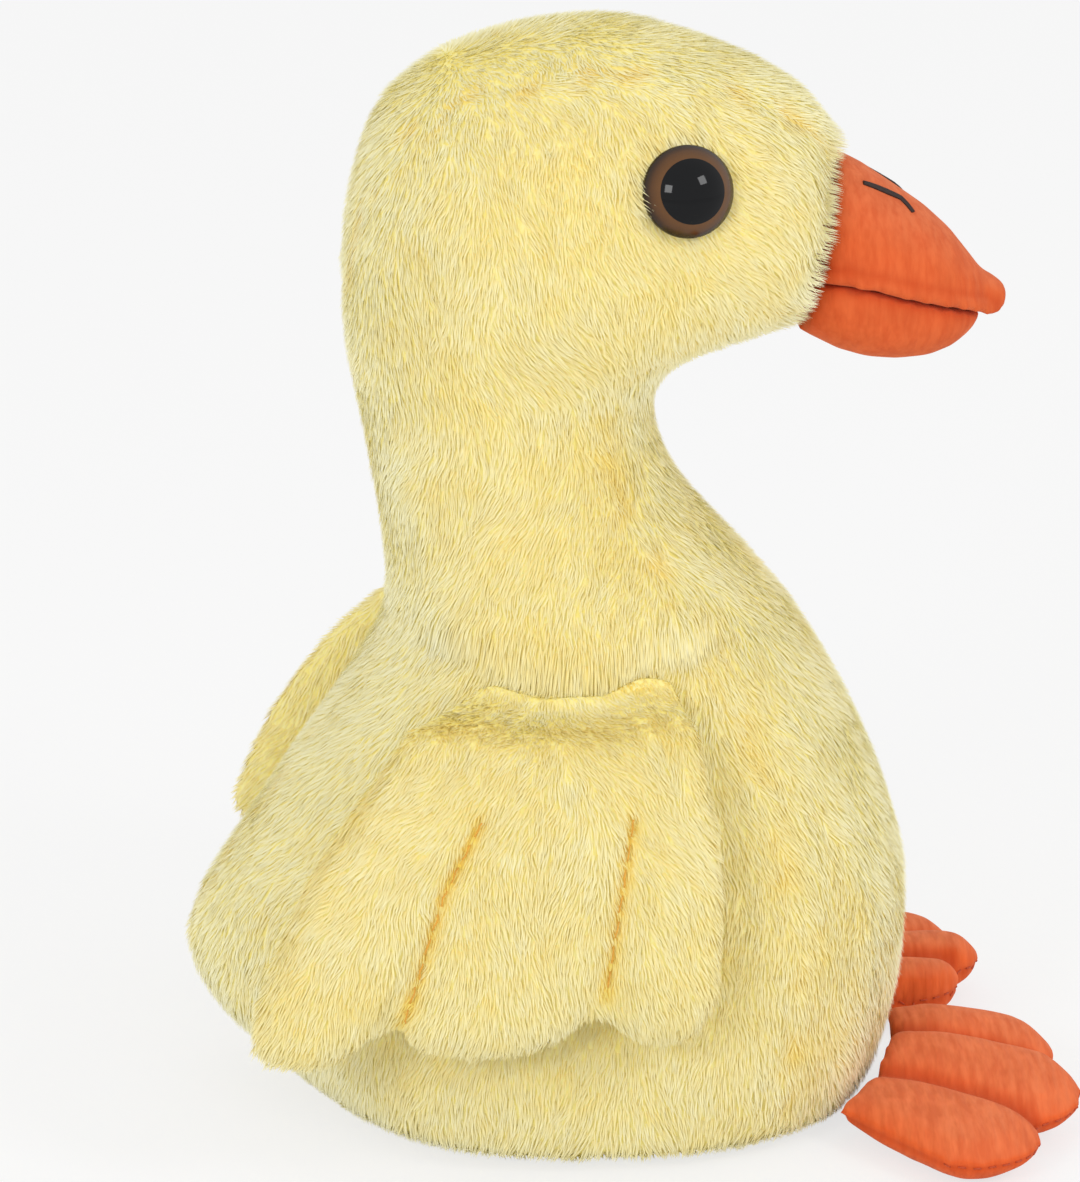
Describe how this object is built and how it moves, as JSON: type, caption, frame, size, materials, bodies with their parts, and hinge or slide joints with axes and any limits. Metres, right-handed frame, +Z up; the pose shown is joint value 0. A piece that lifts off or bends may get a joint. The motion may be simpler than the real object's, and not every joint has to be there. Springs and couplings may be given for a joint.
{
  "type": "plush duckling",
  "caption": "Seated plush duckling with long yellow pile, a padded orange beak, moulded eyes, stitched padded wings, webbed feet and a weighted flat base.",
  "frame": {"origin": "on the floor under the middle of the base, on the duckling's middle plane", "axes": "+X the way the duckling looks, +Y its left, +Z up"},
  "size_m": [0.14, 0.1226, 0.1737],
  "materials": {
    "pile": "long soft yellow pile, pale at the tips and deep yellow at the roots",
    "wing_pile": "long soft yellow pile, combed down the wing",
    "orange_velour": "orange velour with a very short nap and a soft sheen",
    "dark_thread": "dark embroidery thread",
    "eye_brown": "glossy brown moulded eye",
    "pupil_black": "glossy black pupil",
    "washer_plastic": "plain white moulded lock washer",
    "filling": "loose white fibre",
    "pouch_cloth": "plain woven cotton bag filled with granules"
  },
  "bodies": {
    "root": {"side_panel_right": "pile", "side_panel_left": "pile", "breast_panel": "pile", "crown_gusset": "pile", "base_panel": "pile", "wing_right": "wing_pile", "wing_left": "wing_pile", "upper_beak": "orange_velour", "lower_beak": "orange_velour", "foot_top_right": "orange_velour", "foot_top_left": "orange_velour", "foot_sole_right": "orange_velour", "foot_sole_left": "orange_velour", "nostril_stitch_right": "dark_thread", "nostril_stitch_left": "dark_thread", "eye_right": "eye_brown", "eye_left": "eye_brown", "pupil_right": "pupil_black", "pupil_left": "pupil_black", "eye_washer_right": "washer_plastic", "eye_washer_left": "washer_plastic", "fibre_filling": "filling", "bean_pouch": "pouch_cloth"}
  },
  "joints": []
}
